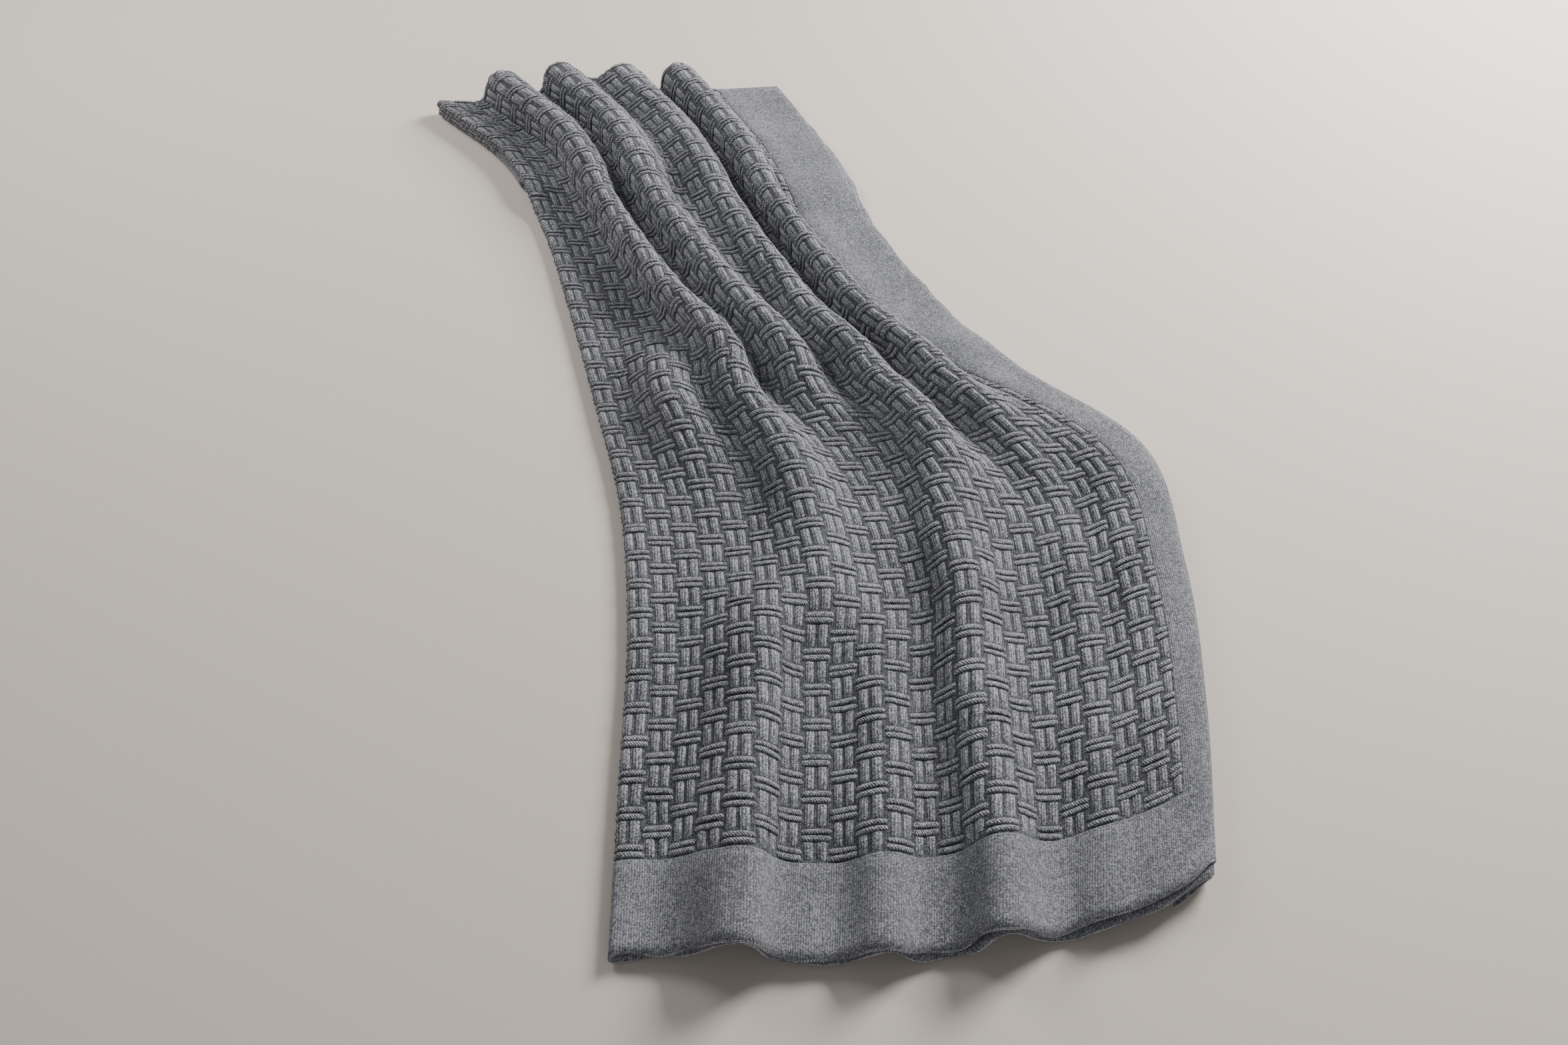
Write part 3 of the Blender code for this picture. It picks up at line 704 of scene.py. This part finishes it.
def buildRibs(name, cells, rings, around, topRise, seed):
    # a rib: an oval carried along the cloth, its sine and cosine to the power 0.7 to square it,
    # its ends dipping under the bars by the sixth power of the share of its length
    chance = np.random.default_rng(seed)
    s, v = cellS[cells], cellV[cells]
    near = np.maximum(v - pattern["period"] + rib["nearTuck"], panelNear + rib["clear"])
    far = v - rib["farTuck"]
    # the last cells also have ribs beyond their bars, up to the border
    atEnd = v > v.max() - pattern["period"] - 1e-6
    s, near = np.concatenate((s, s[atEnd])), np.concatenate((near, v[atEnd] + rib["nearTuck"]))
    far = np.concatenate((far, np.full(int(atEnd.sum()), panelFar - rib["clear"])))
    longEnough = far - near > rib["shortest"]
    s, near, far = (np.repeat(part[longEnough], 2) for part in (s, near, far))
    s = s + np.tile((-rib["apart"], rib["apart"]), len(s) // 2)
    inside = np.abs(s) < panelHalf - rib["sideRoom"]
    s, near, far = (part[inside][:, None, None] for part in (s, near, far))
    aside, slanted = chance.normal(0.0, pattern["jitter"], (2, len(s), 1, 1))
    slanted = rib["slantStray"] * slanted
    share = np.linspace(-1.0, 1.0, rings)
    share = (np.sign(share) * np.abs(share) ** 0.6)[None, :, None]
    angle = (np.arange(around) / around * 2.0 * math.pi - 0.5 * math.pi)[None, None, :]
    squareCos = np.sign(np.cos(angle)) * np.abs(np.cos(angle)) ** rib["squareness"]
    squareSin = np.sign(np.sin(angle)) * np.abs(np.sin(angle)) ** rib["squareness"]
    taper = np.sqrt(np.maximum(1.0 - np.abs(share) ** 8, rib["endLeast"]))
    acrossRib = rib["halfWidth"] * (0.9 + 0.1 * taper) * squareCos
    alongRib = 0.5 * (far - near) * share
    place = s + acrossRib + aside + slanted * share
    place = np.clip(place, rib["sideClear"] - panelHalf, panelHalf - rib["sideClear"])
    dip = rib["dip"] * np.abs(share) ** 6
    rise = rib["base"] + rib["height"] * topRise * taper * squareSin - dip
    firstStitch = chance.random((len(s), 1, 1))
    fromGroove = acrossRib + 0.5 * gauge["ribWale"]
    uv = np.stack(np.broadcast_arrays(fromGroove, alongRib + firstStitch), axis=-1)
    return closedTubes(name, onCloth(place, 0.5 * (far + near) + alongRib, rise), uv, ribWool)


ribsUpper = buildRibs("knitRibsUpper", upper, 5, 8, 1.0, 31)
ribsLower = buildRibs("knitRibsLower", ~upper, 4, 6, 0.8, 32)
print("ribs:", len(ribsUpper.data.polygons), len(ribsLower.data.polygons), "faces")

# The bound-off edge, and the row of slanted stitches round the panel
edging = {
    "edgeRadius": 0.0014,
    "edgeLoop": 0.0026,
    "rowRadius": 0.0014,
    "rowStitch": 0.0029,
    "edgeIn": 0.0004,
    "rowOut": 0.0008,
    "edgeRise": -0.0004,
    "rowRise": -0.0002,
    "around": 5,
    "swell": (1.12, 0.80),
    "turned": 0.3,
}


def loopPath(halfAcross, near, far, step):
    # even steps round a rectangle on the cloth
    corners = np.array(((-1.0, near), (1.0, near), (1.0, far), (-1.0, far), (-1.0, near)))
    corners[:, 0] *= halfAcross
    travelled = np.concatenate(([0.0], np.cumsum(np.linalg.norm(np.diff(corners, axis=0), axis=1))))
    count = int(round(travelled[-1] / step))
    at = np.arange(count) * travelled[-1] / count
    return np.interp(at, travelled, corners[:, 0]), np.interp(at, travelled, corners[:, 1]), at


def buildLoop(name, halfAcross, near, far, radius, stitch, rise, material):
    # a round cord of stitches: its radius swells once for each stitch along the path
    s, v, at = loopPath(halfAcross, near, far, 0.5 * stitch)
    around = edging["around"]
    forwardS = np.roll(s, -1) - np.roll(s, 1)
    forwardV = np.roll(v, -1) - np.roll(v, 1)
    size = np.hypot(forwardS, forwardV)
    outS, outV = forwardV / size, -forwardS / size
    swell = radius * np.where(np.arange(len(s)) % 2 == 0, *edging["swell"])
    angle = np.arange(around) / around * 2.0 * math.pi + edging["turned"]
    side = swell[:, None] * np.cos(angle)[None, :]
    up = swell[:, None] * np.sin(angle)[None, :]
    placeS, placeV = s[:, None] + outS[:, None] * side, v[:, None] + outV[:, None] * side
    points = onCloth(placeS, placeV, rise + up)
    ring = np.arange(len(s))[:, None] * around
    nextRing = np.roll(ring, -1, axis=0)
    point = np.arange(around)[None, :]
    after = (point + 1) % around
    corners = (ring + point, nextRing + point, nextRing + after, ring + after)
    quads = np.stack(corners, axis=-1).reshape(-1, 4)
    uv = np.stack(np.broadcast_arrays(at[:, None], side), axis=-1).reshape(-1, 2)
    return meshFrom(name, points.reshape(-1, 3), quads, np.zeros((0, 3), int), uv, material)


edgeIn, rowOut = edging["edgeIn"], edging["rowOut"]
# the bound-off edge's paler greys are painted light, so it reads light where it faces away from the
# lamps
edge = buildLoop("knitBoundEdge", 0.5 * cloth["width"] - edgeIn, edgeIn, cloth["length"] - edgeIn,
                 edging["edgeRadius"], edging["edgeLoop"], edging["edgeRise"], paintedLightEdgeWool)
panelRow = buildLoop("knitPanelRow", panelHalf + rowOut, panelNear - rowOut, panelFar + rowOut,
                     edging["rowRadius"], edging["rowStitch"], edging["rowRise"], rowWool)
print("edging:", len(edge.data.polygons), len(panelRow.data.polygons), "faces")

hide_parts("knit_throw")

studio = {
    "floorSize": 14.0,
    "floor": "#d3c9bf",
    "floorRoughness": 0.75,
    "world": "#eef0f4",
    "worldStrength": 0.18,
    "hemLightFrom": (0.2, -1.4, 0.5),
    "hemLightStrength": 0.5,
    "hemLightWidth": 40.0,
    "lens": 30.0,
    "sensorWidth": 36.0,
    "cameraPlace": (-0.1922, -0.4075, 1.0465),
    "cameraWay": (0.12111, 0.62307, -0.77273),
}

# place, aim, size, power, spread in degrees, colour
lamps = {
    "keyLight": ((1.92, 0.95, 1.3), (0.1, 0.2, 0.0), 1.0, 122.0, 175.0, (1.0, 0.985, 0.96)),
    "farLeftLight": ((-1.1, 1.3, 1.2), (0.05, 0.35, 0.0), 1.0, 16.0, 150.0, (1.0, 0.99, 0.98)),
}


def buildFloor():
    # one large square of a pale matt floor, which shows the cloth's soft shadows
    half = 0.5 * studio["floorSize"]
    mesh = bpy.data.meshes.new("floor")
    corners = [(-half, -half, 0.0), (half, -half, 0.0), (half, half, 0.0), (-half, half, 0.0)]
    mesh.from_pydata(corners, [], [(0, 1, 2, 3)])
    material = bpy.data.materials.new("paleFloor")
    material.use_nodes = True
    tree = material.node_tree
    shader = tree.nodes["Principled BSDF"]
    shader.inputs["Base Color"].default_value = hexColour(studio["floor"])
    shader.inputs["Roughness"].default_value = studio["floorRoughness"]
    mesh.materials.append(material)
    floor = bpy.data.objects.new("floor", mesh)
    bpy.context.scene.collection.objects.link(floor)


def aimed(name, data, place, aim):
    # a lamp or a camera at its place, looking at its aim
    holder = bpy.data.objects.new(name, data)
    holder.location = place
    holder.rotation_euler = (Vector(aim) - Vector(place)).to_track_quat("-Z", "Y").to_euler()
    bpy.context.scene.collection.objects.link(holder)
    return holder


def addArea(name, place, aim, size, power, spread, colour):
    lamp = bpy.data.lights.new(name, "AREA")
    lamp.energy, lamp.size, lamp.spread, lamp.color = power, size, math.radians(spread), colour
    aimed(name, lamp, place, aim)


def lightAndCamera():
    world = bpy.data.worlds.new("softRoom")
    world.use_nodes = True
    sky = world.node_tree.nodes["Background"]
    sky.inputs["Color"].default_value = hexColour(studio["world"])
    sky.inputs["Strength"].default_value = studio["worldStrength"]
    bpy.context.scene.world = world
    for name, settings in lamps.items():
        addArea(name, *settings)
    # a weak far light from low in front, even over the whole floor, that shows the hem's edge
    lamp = bpy.data.lights.new("hemLight", "SUN")
    lamp.energy, lamp.angle = studio["hemLightStrength"], math.radians(studio["hemLightWidth"])
    aimed("hemLight", lamp, studio["hemLightFrom"], (0.0, 0.0, 0.0))
    camera = bpy.data.cameras.new("camera")
    camera.lens, camera.sensor_width = studio["lens"], studio["sensorWidth"]
    place = Vector(studio["cameraPlace"]) + Vector((*cloth["toFrame"], 0.0))
    bpy.context.scene.camera = aimed("camera", camera, place, place + Vector(studio["cameraWay"]))


buildFloor()
lightAndCamera()
print("studio ready")
